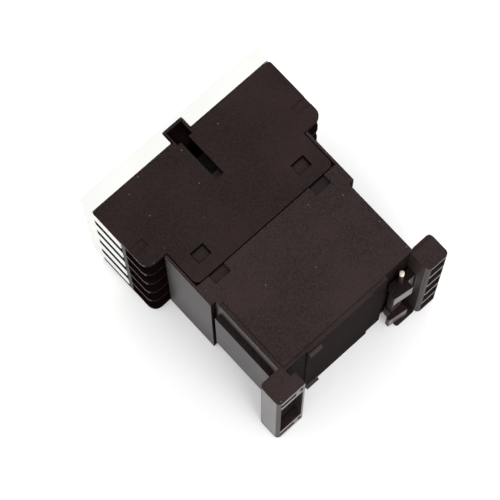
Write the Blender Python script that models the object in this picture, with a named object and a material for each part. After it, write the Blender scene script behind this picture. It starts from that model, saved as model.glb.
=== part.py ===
"""A DIN rail contactor lying on its side, in metres, +Z up.

The module width runs along +Z, the terminal sides face +X and -X, the front faces -Y and the rail
side faces +Y. Every piece is parented to an empty in the front plane, so that inside this script Y
is the depth behind the front face. Run it in Blender's text editor or with
blender --background --python part.py.
"""

import math

import bmesh
import bpy
from mathutils import Matrix

MM = 0.001

# Overall sizes
WIDTH = 45 * MM
HEIGHT = 58 * MM
DEPTH = 70.4 * MM
COLUMNS = 5
GAP = 0.3 * MM
PAST = 1 * MM

# Front cover, with a flap in front of each terminal
COVER_THICKNESS = 4.3 * MM
FLAP_END = 14.5 * MM
FLAP_THICKNESS = 1.0 * MM
FLAP_WIDTH = 5.2 * MM
SCREW_HOLE_DIAMETER = 5.4 * MM
COLUMN_GROOVE_WIDTH = 1.0 * MM
COLUMN_GROOVE_LENGTH = 2.4 * MM
COLUMN_GROOVE_DEPTH = 1.2 * MM
MARKER_LENGTH = 12 * MM
MARKER_WIDTH = 9 * MM
MARKER_THICKNESS = 0.8 * MM
MARKER_EDGE = 5.2 * MM
ACCESSORY_SLOT_LENGTH = 4.2 * MM
ACCESSORY_SLOT_WIDTH = 6 * MM
ACCESSORY_SLOT_OFFSET = 12.5 * MM

# Notch and key slot on both side faces
NOTCH_WIDTH = 4.8 * MM
NOTCH_START = 1.6 * MM
NOTCH_END = 5.8 * MM
NOTCH_DEPTH = 2.4 * MM
NOTCH_TAB_START = 1.1 * MM
NOTCH_TAB_WALL = 0.5 * MM
NOTCH_TAB_FLOOR = 1.0 * MM
KEY_SLOT_WIDTH = 2.5 * MM
KEY_SLOT_END = 18.6 * MM

# Contact housing
HOUSING_FRONT_WALL = 1.8 * MM
HOUSING_SIDE_WALL = 1.4 * MM
SHROUD_END = 24.3 * MM
SHROUD_REACH = 6.5 * MM
RIB_THICKNESS = 1.2 * MM
PARTITION_THICKNESS = 1.1 * MM
TERMINAL_WALL = 1.6 * MM
POCKET_DEPTH = 9.8 * MM
FRAME_POST_THICKNESS = 1.0 * MM
FRAME_POST_WIDTH = 1.4 * MM
SHROUD_CORNER = 2.6 * MM
TONGUE_CORNER = 1.6 * MM
FRONT_CORNER = 1.0 * MM
ARC_STEPS = 5
EDGE_RECESS_START = 17.4 * MM
EDGE_RECESS_LENGTH = 2.5 * MM
EDGE_RECESS_REACH = 4.5 * MM
EDGE_RECESS_DEPTH = 0.35 * MM
TONGUE_END = 35.1 * MM
TONGUE_THICKNESS = 1.6 * MM
WINDOW_CENTRE = 16.5 * MM
WINDOW_LENGTH = 4.2 * MM
WINDOW_START = 28.2 * MM
WINDOW_WIDTH = 3.3 * MM
BOSS_DROP = 1.2 * MM

# Base housing
RIM_THICKNESS = 0.7 * MM
RIM_END = 41.2 * MM
BASE_WALL = 1.8 * MM
BASE_STEP = 1.6 * MM
REAR_WALL = 2.5 * MM
TONGUE_SUPPORT = 1.5 * MM
LEDGE_WIDTH = 27 * MM
LEDGE_GAP = 1.3 * MM
LEDGE_END_INSET = 3.3 * MM
PANEL_BORDER = 1.3 * MM
PANEL_HEIGHT = 0.4 * MM
FOOT_CORNER = 1.3 * MM
SNAP_RECESS_LENGTH = 5 * MM
SNAP_RECESS_WIDTH = 2.7 * MM
SNAP_RECESS_DEPTH = 1.2 * MM

# Rail feet, for a 35 mm top-hat rail
RAIL_WIDTH = 35 * MM
RAIL_CENTRE = 3.1 * MM
RAIL_FLANGE_SLOT = 1.5 * MM
HOOK_OVERLAP = 1.2 * MM
FOOT_REACH = 5.1 * MM
FOOT_ROOT = 1.9 * MM
FOOT_INSET = 1.0 * MM
FOOT_SIDE_WALL = 0.9 * MM
HOOK_POCKET_DEPTH = 2.2 * MM
HOOK_POCKET_EDGE = 8 * MM
HOOK_POCKET_TIP = 0.6 * MM
NARROW_POCKET_EDGE = 2.8 * MM
NARROW_POCKET_WIDTH = 2.6 * MM
NARROW_POCKET_LENGTH = 4.8 * MM
HOOK_HOLE = 1.0 * MM
LATCH_FOOT_WALL = 1.3 * MM
LATCH_FOOT_RIBS = 5
FLANGE_SEAT_LENGTH = 6.7 * MM
FLANGE_SEAT_DEPTH = 0.4 * MM
STOP_REACH = 0.9 * MM
STOP_RISE = 2.4 * MM
STOP_LENGTH = 4.0 * MM
STOP_EDGE = 4.0 * MM

# Rail latch
LATCH_OVERLAP = 1.4 * MM
LATCH_TRAVEL = 2.2 * MM
LATCH_BODY = 4.3 * MM
LATCH_START = 1.2 * MM
LATCH_END = 31.4 * MM
LATCH_NOSE_WIDTH = 6.6 * MM
LATCH_NOSE_INSET = 1.6 * MM
LATCH_RAMP = 0.8 * MM
LATCH_SLOTS = 4
LATCH_SLOT_WIDTH = 1.8 * MM
LATCH_SLOT_PITCH = 3.4 * MM
LATCH_SLOT_DEPTH = 1.6 * MM
LATCH_PEG_DIAMETER = 1.3 * MM
LATCH_PEG_END = 40 * MM
LATCH_PEG_X = 17.2 * MM
LATCH_TAIL_WIDTH = 17 * MM
LATCH_TAIL_LENGTH = 2.6 * MM
LATCH_CHANNEL_FLOOR = 1.0 * MM
LATCH_SPRING_DIAMETER = 2.3 * MM
LATCH_SPRING_WIRE = 0.35 * MM
LATCH_SPRING_LENGTH = 4.6 * MM

# Terminals
SCREW_HEAD_DIAMETER = 5.0 * MM
SCREW_HEAD_HEIGHT = 2.2 * MM
SCREW_SHANK_DIAMETER = 2.8 * MM
SCREW_PAST_BAR = 0.8 * MM
DRIVE_SLOT_LENGTH = 3.8 * MM
DRIVE_SLOT_WIDTH = 0.8 * MM
DRIVE_SLOT_DEPTH = 1.1 * MM
CLAMP_THICKNESS = 1.2 * MM
CLAMP_WIDTH = 5.8 * MM
CLAMP_LENGTH = 5.0 * MM
WIRE_GAP = 4.4 * MM
BAR_DEPTH = 20.6 * MM
BAR_THICKNESS = 1.0 * MM
BAR_WIDTH = 5.0 * MM
BAR_EDGE = 1.0 * MM

# Contacts
CONTACT_X = 8.5 * MM
CONTACT_GAP = 3.0 * MM
CONTACT_BUTTON_DIAMETER = 3.0 * MM
CONTACT_BUTTON_HEIGHT = 0.9 * MM
BRIDGE_HALF_LENGTH = 10.2 * MM
BRIDGE_WIDTH = 3.4 * MM
BRIDGE_THICKNESS = 0.8 * MM
CONTACT_SPRING_DIAMETER = 3.0 * MM
CONTACT_SPRING_WIRE = 0.4 * MM
CONTACT_SPRING_LENGTH = 4.8 * MM

# Contact carrier
CARRIER_HALF = 3.0 * MM
CARRIER_WEB = 0.8 * MM
CARRIER_PLATE_CLEARANCE = 0.5 * MM
CARRIER_PLATE_THICKNESS = 2.2 * MM
CARRIER_PLATE_WIDTH = 20 * MM
CARRIER_WING_HALF = 19.3 * MM
CARRIER_WING_WIDTH = 7 * MM
INDICATOR_FRONT = 1.0 * MM
INDICATOR_THICKNESS = 3.2 * MM
INDICATOR_WIDTH = 9 * MM
INDICATOR_CLEARANCE = 0.5 * MM
ARMATURE_TRAVEL = 4.0 * MM

# Magnet
CORE_HALF = 14.5 * MM
CORE_THICKNESS = 11 * MM
CORE_YOKE = 4.5 * MM
CORE_OUTER_LEG = 4.0 * MM
CORE_CENTRE_LEG = 6.0 * MM
MOVING_LEG_LENGTH = 6.5 * MM
PIN_DIAMETER = 2.0 * MM
PIN_LUG_THICKNESS = 1.6 * MM
BUFFER_THICKNESS = 1.2 * MM
BUFFER_HALF = 12 * MM
RING_BAR = 0.6 * MM
RING_HEIGHT = 1.0 * MM

# Coil
BOBBIN_WALL = 0.8 * MM
BOBBIN_CLEARANCE = 0.4 * MM
BOBBIN_FLANGE = 1.0 * MM
BOBBIN_FLANGE_MARGIN = 6.1 * MM
WINDING_INSET = 0.7 * MM
COIL_POST_LENGTH = 3.6 * MM
COIL_POST_THICKNESS = 2.4 * MM
COIL_LEG_THICKNESS = 1.0 * MM
COIL_LEG_WIDTH = 2.6 * MM
COIL_LEG_X = 8.0 * MM

# Return springs
RETURN_SPRING_DIAMETER = 4.0 * MM
RETURN_SPRING_WIRE = 0.5 * MM
RETURN_SPRING_LENGTH = 9.6 * MM
RETURN_SPRING_X = 17.1 * MM
SPRING_SEAT_THICKNESS = 2.0 * MM

# Places worked out from the sizes above
HALF_HEIGHT = HEIGHT / 2
PITCH = WIDTH / COLUMNS
MID = WIDTH / 2
HOUSING_FRONT = COVER_THICKNESS + GAP
CHAMBER_FRONT = HOUSING_FRONT + HOUSING_FRONT_WALL
POCKET_INNER = HALF_HEIGHT - POCKET_DEPTH
CHAMBER_HALF = POCKET_INNER - TERMINAL_WALL
SCREW_X = HALF_HEIGHT - FLAP_THICKNESS - GAP - SCREW_HEAD_DIAMETER / 2
CLAMP_FRONT = BAR_DEPTH - WIRE_GAP - CLAMP_THICKNESS
HEAD_FRONT = CLAMP_FRONT - GAP - SCREW_HEAD_HEIGHT
TONGUE_HALF = HALF_HEIGHT - SHROUD_REACH
RIM_HALF = TONGUE_HALF + GAP + RIM_THICKNESS
BASE_HALF = RIM_HALF - BASE_STEP
CAVITY_HALF = BASE_HALF - BASE_WALL
NECK_FRONT = SHROUD_END + GAP
BODY_FRONT = TONGUE_END + GAP
SEAT = DEPTH - FOOT_REACH
CAVITY_END = SEAT - REAR_WALL
FOOT_FRONT = SEAT - FOOT_ROOT
FOOT_OUTER = HALF_HEIGHT - FOOT_INSET
HOOK_EDGE = RAIL_CENTRE + RAIL_WIDTH / 2
LATCH_EDGE = RAIL_CENTRE - RAIL_WIDTH / 2
LATCH_TIP = LATCH_EDGE + LATCH_OVERLAP
LATCH_BACK = LATCH_EDGE - LATCH_BODY
LATCH_FOOT_INNER = LATCH_BACK - LATCH_TRAVEL - GAP
LATCH_TAIL_END = LATCH_FOOT_INNER - LATCH_TAIL_LENGTH + LATCH_TRAVEL
BUTTON_REST = BAR_DEPTH - CONTACT_BUTTON_HEIGHT - CONTACT_GAP
BRIDGE_FRONT = BUTTON_REST - CONTACT_BUTTON_HEIGHT - BRIDGE_THICKNESS
BRIDGE_WINDOW_END = BRIDGE_FRONT + BRIDGE_THICKNESS + GAP
CONTACT_SPRING_FRONT = BRIDGE_FRONT - GAP - CONTACT_SPRING_LENGTH
BRIDGE_WINDOW_START = CONTACT_SPRING_FRONT - GAP
CARRIER_PLATE_FRONT = SHROUD_END + CARRIER_PLATE_CLEARANCE
PLATE_REAR = CARRIER_PLATE_FRONT + CARRIER_PLATE_THICKNESS
MOVING_YOKE_FRONT = PLATE_REAR + GAP
MOVING_YOKE_REAR = MOVING_YOKE_FRONT + CORE_YOKE
MOVING_TIP = MOVING_YOKE_REAR + MOVING_LEG_LENGTH
FIXED_TIP = MOVING_TIP + ARMATURE_TRAVEL + GAP
BUFFER_FRONT = CAVITY_END - GAP - BUFFER_THICKNESS
FIXED_REAR = BUFFER_FRONT - GAP
BOBBIN_FRONT = MOVING_YOKE_REAR + ARMATURE_TRAVEL + GAP
BOBBIN_REAR = FIXED_REAR - CORE_YOKE - GAP
BOBBIN_HALF = CORE_HALF - CORE_OUTER_LEG - 2 * GAP
RETURN_SPRING_FRONT = PLATE_REAR + GAP
SPRING_SEAT_FRONT = RETURN_SPRING_FRONT + RETURN_SPRING_LENGTH + GAP

CONTACT_COLUMNS = range(COLUMNS - 1)
COIL_COLUMN = COLUMNS - 1
SIDES = {"p": 1, "n": -1}


def column_z(index):
    return (index + 0.5) * PITCH


for old in list(bpy.data.objects):
    bpy.data.objects.remove(old, do_unlink=True)

parts = bpy.data.collections.new("din_rail_contactor")
cutters = bpy.data.collections.new("cutters")
bpy.context.scene.collection.children.link(parts)
bpy.context.scene.collection.children.link(cutters)
front_plane = bpy.data.objects.new("front_plane", None)
front_plane.location = (0, -DEPTH / 2, 0)
parts.objects.link(front_plane)


def material(name, colour, roughness, metallic=0.0):
    made = bpy.data.materials.new(name)
    made.use_nodes = True
    shader = made.node_tree.nodes["Principled BSDF"]
    shader.inputs["Base Color"].default_value = (*colour, 1)
    shader.inputs["Roughness"].default_value = roughness
    shader.inputs["Metallic"].default_value = metallic
    return made


WHITE_PLASTIC = material("white_plastic", (0.86, 0.87, 0.86), 0.45)
DARK_PLASTIC = material("dark_plastic", (0.040, 0.034, 0.033), 0.5)
CARRIER_PLASTIC = material("carrier_plastic", (0.10, 0.09, 0.085), 0.5)
BOBBIN_PLASTIC = material("bobbin_plastic", (0.70, 0.66, 0.56), 0.5)
MARKER_PLASTIC = material("marker_plastic", (0.90, 0.90, 0.88), 0.4)
STEEL = material("steel", (0.62, 0.62, 0.60), 0.35, 1.0)
CORE_STEEL = material("core_steel", (0.33, 0.33, 0.34), 0.45, 1.0)
COPPER = material("copper", (0.74, 0.42, 0.26), 0.35, 1.0)
SILVERED_BRASS = material("silvered_brass", (0.76, 0.70, 0.55), 0.32, 1.0)
RUBBER = material("rubber", (0.03, 0.03, 0.03), 0.8)


def shape(name, bm, location=(0, 0, 0)):
    """An object made from a bmesh, in no collection yet, parented to the front plane."""
    bmesh.ops.recalc_face_normals(bm, faces=bm.faces)
    mesh = bpy.data.meshes.new(name)
    bm.to_mesh(mesh)
    bm.free()
    obj = bpy.data.objects.new(name, mesh)
    obj.parent = front_plane
    obj.location = location
    return obj


def block(x, y, z, name="block", location=(0, 0, 0)):
    """A box between two limits along each axis."""
    bm = bmesh.new()
    bmesh.ops.create_cube(bm, size=1)
    bmesh.ops.scale(bm, vec=(x[1] - x[0], y[1] - y[0], z[1] - z[0]), verts=bm.verts)
    centre = (sum(x) / 2, sum(y) / 2, sum(z) / 2)
    bmesh.ops.translate(bm, vec=centre, verts=bm.verts)
    return shape(name, bm, location)


def side_block(side, x, y, z):
    """A box whose two X limits are distances from the middle, on the +X or the -X side."""
    low, high = sorted((side * x[0], side * x[1]))
    return block((low, high), y, z)


def rod(diameter, y, x=0, z=0, name="rod", location=(0, 0, 0), segments=24):
    """A cylinder along Y between two depths."""
    bm = bmesh.new()
    bmesh.ops.create_cone(
        bm,
        cap_ends=True,
        segments=segments,
        radius1=diameter / 2,
        radius2=diameter / 2,
        depth=y[1] - y[0],
    )
    bmesh.ops.rotate(bm, matrix=Matrix.Rotation(math.pi / 2, 3, "X"), verts=bm.verts)
    bmesh.ops.translate(bm, vec=(x, sum(y) / 2, z), verts=bm.verts)
    return shape(name, bm, location)


def prism(outline, z, name="prism"):
    """An outline of (x, y) points extruded along Z."""
    bm = bmesh.new()
    face = bm.faces.new([bm.verts.new((x, y, z[0])) for x, y in outline])
    raised = bmesh.ops.extrude_face_region(bm, geom=[face])["geom"]
    tops = [item for item in raised if isinstance(item, bmesh.types.BMVert)]
    bmesh.ops.translate(bm, vec=(0, 0, z[1] - z[0]), verts=tops)
    return shape(name, bm)


def arc(centre, radius, start, turn):
    """Points of an arc round a centre, from a start angle, both ends included."""
    return [
        (
            centre[0] + radius * math.cos(start + turn * step / ARC_STEPS),
            centre[1] + radius * math.sin(start + turn * step / ARC_STEPS),
        )
        for step in range(ARC_STEPS + 1)
    ]


def rounded_rectangle(x, y, radii):
    """An outline with a radius for each corner, from the front one on the -X side round to it."""
    outline = []
    corners = (
        (x[0], y[0], 1, 1, math.pi),
        (x[1], y[0], -1, 1, 1.5 * math.pi),
        (x[1], y[1], -1, -1, 0),
        (x[0], y[1], 1, -1, 0.5 * math.pi),
    )
    for (corner_x, corner_y, inward_x, inward_y, start), radius in zip(corners, radii):
        if radius == 0:
            outline.append((corner_x, corner_y))
        else:
            centre = (corner_x + inward_x * radius, corner_y + inward_y * radius)
            outline += arc(centre, radius, start, math.pi / 2)
    return outline


def ramp(x, outline):
    """An outline of (y, z) points extruded along X."""
    bm = bmesh.new()
    face = bm.faces.new([bm.verts.new((x[0], y, z)) for y, z in outline])
    raised = bmesh.ops.extrude_face_region(bm, geom=[face])["geom"]
    ends = [item for item in raised if isinstance(item, bmesh.types.BMVert)]
    bmesh.ops.translate(bm, vec=(x[1] - x[0], 0, 0), verts=ends)
    return shape("ramp", bm)


def combine(target, operation, tools):
    """Unites the tools with the target, or cuts them from it."""
    group = bpy.data.collections.new(f"{target.name}_{operation.lower()}")
    cutters.children.link(group)
    for tool in tools:
        tool.name = f"{target.name}_{operation.lower()}_tool"
        tool.hide_render = True
        tool.display_type = "WIRE"
        group.objects.link(tool)
    modifier = target.modifiers.new(operation.lower(), "BOOLEAN")
    modifier.operation = operation
    modifier.operand_type = "COLLECTION"
    modifier.collection = group
    modifier.solver = "EXACT"


def unite(target, tools):
    combine(target, "UNION", tools)


def cut(target, tools):
    combine(target, "DIFFERENCE", tools)


def finish(obj, look):
    """Puts a finished sub-part in the object's collection, with its material."""
    parts.objects.link(obj)
    obj.data.materials.append(look)
    return obj


def both_faces(depth, x, y):
    """Two boxes let into the side faces at Z = 0 and at full width, a given depth from each."""
    return [
        block(x, y, (-PAST, depth)),
        block(x, y, (WIDTH - depth, WIDTH + PAST)),
    ]


def spring(name, look, diameter, wire, length, turns, location, along_x=False):
    """A compression spring from its origin along +Y, or along +X."""
    per_turn = 10
    radius = (diameter - wire) / 2
    pitch_length = length - wire
    curve = bpy.data.curves.new(name, "CURVE")
    curve.dimensions = "3D"
    curve.bevel_depth = wire / 2
    curve.bevel_resolution = 1
    curve.use_fill_caps = True
    line = curve.splines.new("POLY")
    count = round(turns * per_turn) + 1
    line.points.add(count - 1)
    for index, point in enumerate(line.points):
        angle = math.tau * index / per_turn
        rise = wire / 2 + pitch_length * index / (count - 1)
        across = radius * math.cos(angle)
        up = radius * math.sin(angle)
        point.co = (rise, across, up, 1) if along_x else (across, rise, up, 1)
    obj = bpy.data.objects.new(name, curve)
    obj.parent = front_plane
    obj.location = location
    return finish(obj, look)


def front_cover():
    outline = rounded_rectangle(
        (-HALF_HEIGHT, HALF_HEIGHT), (0, COVER_THICKNESS), (FRONT_CORNER / 2, FRONT_CORNER / 2, 0, 0)
    )
    cover = prism(outline, (0, WIDTH), "front_cover")
    flaps = []
    holes = []
    for side in SIDES.values():
        for index in range(COLUMNS):
            z = column_z(index)
            across = (HALF_HEIGHT - FLAP_THICKNESS, HALF_HEIGHT)
            along = (COVER_THICKNESS - PAST, FLAP_END)
            flaps.append(side_block(side, across, along, (z - FLAP_WIDTH / 2, z + FLAP_WIDTH / 2)))
            depth = (-PAST, COVER_THICKNESS + PAST)
            holes.append(rod(SCREW_HOLE_DIAMETER, depth, side * SCREW_X, z))
        for index in range(1, COLUMNS):
            z = index * PITCH
            across = (HALF_HEIGHT - COLUMN_GROOVE_LENGTH, HALF_HEIGHT + PAST)
            width = (z - COLUMN_GROOVE_WIDTH / 2, z + COLUMN_GROOVE_WIDTH / 2)
            holes.append(side_block(side, across, (-PAST, COLUMN_GROOVE_DEPTH), width))
        slot_x = (
            ACCESSORY_SLOT_OFFSET - ACCESSORY_SLOT_LENGTH / 2,
            ACCESSORY_SLOT_OFFSET + ACCESSORY_SLOT_LENGTH / 2,
        )
        slot_z = (MID - ACCESSORY_SLOT_WIDTH / 2, MID + ACCESSORY_SLOT_WIDTH / 2)
        holes.append(side_block(side, slot_x, (-PAST, COVER_THICKNESS + PAST), slot_z))
    tab_space = NOTCH_WIDTH / 2 + NOTCH_TAB_WALL + GAP
    holes += both_faces(
        NOTCH_DEPTH + NOTCH_TAB_FLOOR + GAP,
        (-tab_space, tab_space),
        (NOTCH_TAB_START - GAP, COVER_THICKNESS + PAST),
    )
    holes.append(indicator_window((-PAST, COVER_THICKNESS + PAST)))
    marker_top = WIDTH - MARKER_EDGE
    marker_z = (marker_top - MARKER_WIDTH - GAP, marker_top + GAP)
    marker_x = (-MARKER_LENGTH / 2 - GAP, MARKER_LENGTH / 2 + GAP)
    holes.append(block(marker_x, (-PAST, MARKER_THICKNESS + 2 * GAP), marker_z))
    unite(cover, flaps)
    cut(cover, holes)
    return finish(cover, WHITE_PLASTIC)


def indicator_window(y):
    half_x = INDICATOR_THICKNESS / 2 + INDICATOR_CLEARANCE
    half_z = INDICATOR_WIDTH / 2 + INDICATOR_CLEARANCE
    return block((-half_x, half_x), y, (MID - half_z, MID + half_z))


def marker_plate():
    top = WIDTH - MARKER_EDGE
    plate = block(
        (-MARKER_LENGTH / 2, MARKER_LENGTH / 2),
        (GAP, GAP + MARKER_THICKNESS),
        (top - MARKER_WIDTH, top),
        "marker_plate",
    )
    return finish(plate, MARKER_PLASTIC)


def contact_housing():
    outline = rounded_rectangle(
        (-HALF_HEIGHT, HALF_HEIGHT),
        (HOUSING_FRONT, SHROUD_END),
        (FRONT_CORNER, 0, SHROUD_CORNER, SHROUD_CORNER),
    )
    housing = prism(outline, (0, WIDTH), "contact_housing")
    tongue = rounded_rectangle(
        (-TONGUE_HALF, TONGUE_HALF),
        (SHROUD_END - PAST, TONGUE_END),
        (0, 0, TONGUE_CORNER, TONGUE_CORNER),
    )
    tab_x = (-NOTCH_WIDTH / 2 - NOTCH_TAB_WALL, NOTCH_WIDTH / 2 + NOTCH_TAB_WALL)
    tab_y = (NOTCH_TAB_START, HOUSING_FRONT + PAST)
    tab_depth = NOTCH_DEPTH + NOTCH_TAB_FLOOR
    unite(
        housing,
        [
            prism(tongue, (0, TONGUE_THICKNESS)),
            prism(tongue, (WIDTH - TONGUE_THICKNESS, WIDTH)),
            block(tab_x, tab_y, (0, tab_depth)),
            block(tab_x, tab_y, (WIDTH - tab_depth, WIDTH)),
        ],
    )
    holes = [indicator_window((HOUSING_FRONT - PAST, CHAMBER_FRONT + PAST))]
    shaft = CARRIER_HALF + 2 * GAP
    wall = HOUSING_SIDE_WALL
    holes.append(
        block((-shaft, shaft), (CHAMBER_FRONT, SHROUD_END + PAST), (wall, WIDTH - wall))
    )
    for index in range(COLUMNS):
        z = column_z(index)
        chamber_z = (
            max(wall, z - (PITCH - PARTITION_THICKNESS) / 2),
            min(WIDTH - wall, z + (PITCH - PARTITION_THICKNESS) / 2),
        )
        holes.append(
            block((-CHAMBER_HALF, CHAMBER_HALF), (CHAMBER_FRONT, SHROUD_END + PAST), chamber_z)
        )
        for side in SIDES.values():
            holes += terminal_space(side, index)
    holes += both_faces(
        NOTCH_DEPTH, (-NOTCH_WIDTH / 2, NOTCH_WIDTH / 2), (NOTCH_START, NOTCH_END)
    )
    holes += both_faces(
        NOTCH_DEPTH, (-KEY_SLOT_WIDTH / 2, KEY_SLOT_WIDTH / 2), (HOUSING_FRONT, KEY_SLOT_END)
    )
    for side in SIDES.values():
        recess_x = sorted(
            (side * (HALF_HEIGHT - EDGE_RECESS_REACH), side * (HALF_HEIGHT + PAST))
        )
        recess_y = (EDGE_RECESS_START, EDGE_RECESS_START + EDGE_RECESS_LENGTH)
        holes += both_faces(EDGE_RECESS_DEPTH, recess_x, recess_y)
        window_x = (
            side * WINDOW_CENTRE - WINDOW_LENGTH / 2,
            side * WINDOW_CENTRE + WINDOW_LENGTH / 2,
        )
        window_y = (WINDOW_START, WINDOW_START + WINDOW_WIDTH)
        holes += both_faces(TONGUE_THICKNESS + PAST, window_x, window_y)
    cut(housing, holes)
    return finish(housing, DARK_PLASTIC)


def terminal_space(side, index):
    """The screw well behind a flap, the wire pocket behind it and the slot for the bar."""
    z = column_z(index)
    well_half = max(FLAP_WIDTH, SCREW_HEAD_DIAMETER) / 2 + GAP
    pocket_z = (
        max(RIB_THICKNESS, z - (PITCH - RIB_THICKNESS) / 2),
        min(WIDTH - RIB_THICKNESS, z + (PITCH - RIB_THICKNESS) / 2),
    )
    well = side_block(
        side,
        (SCREW_X - SCREW_HEAD_DIAMETER / 2 - GAP, HALF_HEIGHT + PAST),
        (HOUSING_FRONT - PAST, FLAP_END + GAP),
        (z - well_half, z + well_half),
    )
    pocket = side_block(
        side,
        (POCKET_INNER, HALF_HEIGHT - FRAME_POST_THICKNESS),
        (CLAMP_FRONT - GAP, SHROUD_END + PAST),
        pocket_z,
    )
    entry = side_block(
        side,
        (POCKET_INNER, HALF_HEIGHT + PAST),
        (FLAP_END + GAP + FRAME_POST_WIDTH, SHROUD_END + PAST),
        pocket_z,
    )
    slot_half = BAR_WIDTH / 2 + GAP
    slot = side_block(
        side,
        (CHAMBER_HALF - PAST, POCKET_INNER + PAST),
        (BAR_DEPTH - GAP, SHROUD_END + PAST),
        (z - slot_half, z + slot_half),
    )
    return [well, pocket, entry, slot]


def base_housing():
    base = block((-BASE_HALF, BASE_HALF), (BODY_FRONT, SEAT), (0, WIDTH), "base_housing")
    ledge_z = (MID - LEDGE_WIDTH / 2, MID + LEDGE_WIDTH / 2)
    ledge_y = (RIM_END + LEDGE_GAP, SEAT - LEDGE_END_INSET)
    unite(
        base,
        [
            block((-RIM_HALF, RIM_HALF), (NECK_FRONT, RIM_END), (0, WIDTH)),
            side_block(1, (CAVITY_HALF + GAP, RIM_HALF), ledge_y, ledge_z),
            side_block(-1, (CAVITY_HALF + GAP, RIM_HALF), ledge_y, ledge_z),
            hook_foot(),
            latch_foot(),
        ],
    )
    inner_z = TONGUE_THICKNESS + GAP + TONGUE_SUPPORT
    tongue_x = (-TONGUE_HALF - GAP, TONGUE_HALF + GAP)
    holes = both_faces(TONGUE_THICKNESS + GAP, tongue_x, (NECK_FRONT - PAST, BODY_FRONT))
    cavity_x = (-CAVITY_HALF, CAVITY_HALF)
    holes.append(block(cavity_x, (NECK_FRONT - PAST, CAVITY_END), (inner_z, WIDTH - inner_z)))
    holes.append(
        block(
            cavity_x,
            (BODY_FRONT + TONGUE_SUPPORT, CAVITY_END),
            (BASE_WALL, WIDTH - BASE_WALL),
        )
    )
    holes += panel_borders()
    holes += flange_seats()
    for side in SIDES.values():
        recess_x = (
            side * WINDOW_CENTRE - SNAP_RECESS_LENGTH / 2,
            side * WINDOW_CENTRE + SNAP_RECESS_LENGTH / 2,
        )
        recess_y = (BODY_FRONT - PAST, BODY_FRONT + SNAP_RECESS_WIDTH)
        holes += both_faces(SNAP_RECESS_DEPTH, recess_x, recess_y)
    holes += foot_pockets()
    holes += latch_space()
    cut(base, holes)
    unite(base, snap_bosses() + spring_seats() + rail_stops())
    return finish(base, DARK_PLASTIC)


def panel_borders():
    """Steps in the side faces that leave a raised panel, along its rear and its +X edge."""
    rear_y = (SEAT - PANEL_BORDER, DEPTH + PAST)
    side_x = (BASE_HALF - PANEL_BORDER, HALF_HEIGHT)
    side_y = (RIM_END + LEDGE_GAP, DEPTH)
    rear = both_faces(PANEL_HEIGHT, (-HALF_HEIGHT, HALF_HEIGHT), rear_y)
    return rear + both_faces(PANEL_HEIGHT, side_x, side_y)


def latch_foot():
    """The foot on the -X side, which guides the rail latch."""
    return prism(
        rounded_rectangle(
            (-FOOT_OUTER, LATCH_FOOT_INNER), (FOOT_FRONT, DEPTH), (FOOT_CORNER,) * 4
        ),
        (0, WIDTH),
    )


def hook_foot():
    """The fixed foot on the +X side, whose lip goes behind the rail's edge."""
    lip_tip = HOOK_EDGE - HOOK_OVERLAP
    slot_rear = SEAT + RAIL_FLANGE_SLOT
    outer_front = (FOOT_OUTER - FOOT_CORNER, FOOT_FRONT + FOOT_CORNER)
    outer_rear = (FOOT_OUTER - FOOT_CORNER, DEPTH - FOOT_CORNER)
    outline = [
        (lip_tip - PAST, FOOT_FRONT),
        *arc(outer_front, FOOT_CORNER, -math.pi / 2, math.pi / 2),
        *arc(outer_rear, FOOT_CORNER, 0, math.pi / 2),
        (lip_tip, DEPTH),
        (lip_tip, slot_rear),
        (HOOK_EDGE + GAP, slot_rear),
        (HOOK_EDGE + GAP, SEAT),
        (lip_tip - PAST, SEAT),
    ]
    return prism(outline, (0, WIDTH))


def flange_seats():
    """Steps in the rear wall where the rail's two flanges lie."""
    depth = (SEAT - FLANGE_SEAT_DEPTH, SEAT + PAST / 2)
    through = (-PAST, WIDTH + PAST)
    hook_x = (HOOK_EDGE - FLANGE_SEAT_LENGTH, HOOK_EDGE + GAP)
    latch_x = (LATCH_TIP, LATCH_EDGE + FLANGE_SEAT_LENGTH)
    return [block(hook_x, depth, through), block(latch_x, depth, through)]


def rail_stops():
    """Ramps on the rear wall that go between the rail's flanges and centre it."""
    end = HOOK_EDGE - FLANGE_SEAT_LENGTH - GAP
    stops = []
    for low in (GAP, WIDTH - STOP_EDGE - STOP_RISE):
        outline = [
            (SEAT - PAST / 2, low),
            (SEAT, low),
            (SEAT + STOP_REACH, low + STOP_RISE - STOP_REACH),
            (SEAT, low + STOP_RISE),
            (SEAT - PAST / 2, low + STOP_RISE),
        ]
        stops.append(ramp((end - STOP_LENGTH, end), outline))
    return stops


def foot_pockets():
    """Hollows in the rear faces of both feet."""
    holes = []
    outer = FOOT_OUTER - FOOT_SIDE_WALL
    tip = HOOK_EDGE - HOOK_OVERLAP + HOOK_POCKET_TIP
    rear_y = (DEPTH - HOOK_POCKET_DEPTH, DEPTH + PAST)
    holes.append(block((tip, outer), rear_y, (HOOK_POCKET_EDGE, WIDTH - HOOK_POCKET_EDGE)))
    for low in (NARROW_POCKET_EDGE, WIDTH - NARROW_POCKET_EDGE - NARROW_POCKET_WIDTH):
        high = low + NARROW_POCKET_WIDTH
        holes.append(block((outer - NARROW_POCKET_LENGTH, outer), rear_y, (low, high)))
        holes.append(block((tip, tip + HOOK_HOLE), rear_y, (low, high)))
    rib_pitch = (WIDTH - LATCH_FOOT_WALL) / LATCH_FOOT_RIBS
    latch_x = (-FOOT_OUTER + FOOT_SIDE_WALL, LATCH_FOOT_INNER - FOOT_SIDE_WALL)
    latch_y = (latch_rear_guide() + LATCH_FOOT_WALL, DEPTH + PAST)
    for index in range(LATCH_FOOT_RIBS):
        low = LATCH_FOOT_WALL + index * rib_pitch
        holes.append(block(latch_x, latch_y, (low, low + rib_pitch - LATCH_FOOT_WALL)))
    return holes


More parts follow.
